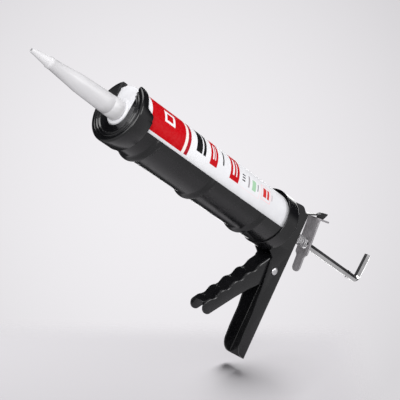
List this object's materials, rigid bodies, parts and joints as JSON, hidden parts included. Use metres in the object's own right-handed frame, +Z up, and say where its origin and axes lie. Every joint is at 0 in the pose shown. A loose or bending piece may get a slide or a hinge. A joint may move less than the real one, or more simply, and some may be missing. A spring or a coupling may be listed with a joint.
{
  "type": "caulking gun",
  "caption": "Half-barrel caulking gun with sealant cartridge and tapered nozzle, folded handle, finger-grooved trigger, release lever and a hexagonal push rod with a pull hook.",
  "frame": {"origin": "on the flat back face of the handle, on the centre plane, level with the trigger pivot", "axes": "+X along the barrel from the nozzle towards the pull hook, +Y across the gun, +Z up from the handle towards the barrel"},
  "size_m": [0.4838, 0.059, 0.1673],
  "materials": {
    "black_paint": "satin black powder coat",
    "zinc_plate": "dull zinc plating",
    "spring_steel": "bright spring wire",
    "drawn_steel": "bright drawn bar",
    "white_plastic": "white moulded plastic with a printed label",
    "clear_plastic": "cloudy translucent plastic",
    "paste": "smooth paste"
  },
  "bodies": {
    "frame": {"cradle": "black_paint", "front_cap": "black_paint", "rear_cap": "black_paint", "handle_frame": "black_paint", "cap_rivet_1": "zinc_plate", "cap_rivet_2": "zinc_plate", "cap_rivet_3": "zinc_plate", "cap_rivet_4": "zinc_plate", "trigger_pivot": "zinc_plate", "main_spring": "spring_steel", "lever_spring": "spring_steel", "cartridge_tube": "white_plastic", "cartridge_piston": "white_plastic", "nozzle": "clear_plastic", "sealant": "paste"},
    "trigger": {"trigger": "black_paint"},
    "drive": {"drive_plate": "zinc_plate", "spring_washer": "zinc_plate"},
    "rod": {"thrust_rod": "drawn_steel", "plunger_washer": "zinc_plate", "plunger_plate": "zinc_plate", "rod_nut": "zinc_plate"},
    "release_lever": {"release_lever": "zinc_plate"}
  },
  "joints": [
    {"name": "trigger_squeeze", "type": "hinge", "parent": "frame", "child": "trigger", "pos_m": [-0.0133, 0, 0.0001], "axis": [0, -1, 0], "range_deg": [0, 24], "stiffness_Nm_per_rad": 0.6, "springref_deg": -20.05},
    {"name": "drive_slide", "type": "slide", "parent": "frame", "child": "drive", "axis": [-1, 0, 0], "range_m": [0, 0.0115], "deforming": ["main_spring"]},
    {"name": "rod_slide", "type": "slide", "parent": "frame", "child": "rod", "axis": [1, 0, 0], "range_m": [0, 0.125]},
    {"name": "lever_release", "type": "hinge", "parent": "frame", "child": "release_lever", "pos_m": [0.022, 0, 0.0709], "axis": [0, 1, 0], "range_deg": [0, 8], "stiffness_Nm_per_rad": 0.05, "springref_deg": -17.19, "deforming": ["lever_spring"]}
  ],
  "couplings": [
    {"joint": "drive_slide", "follows": "trigger_squeeze", "m_per_rad": 0.0268}
  ]
}
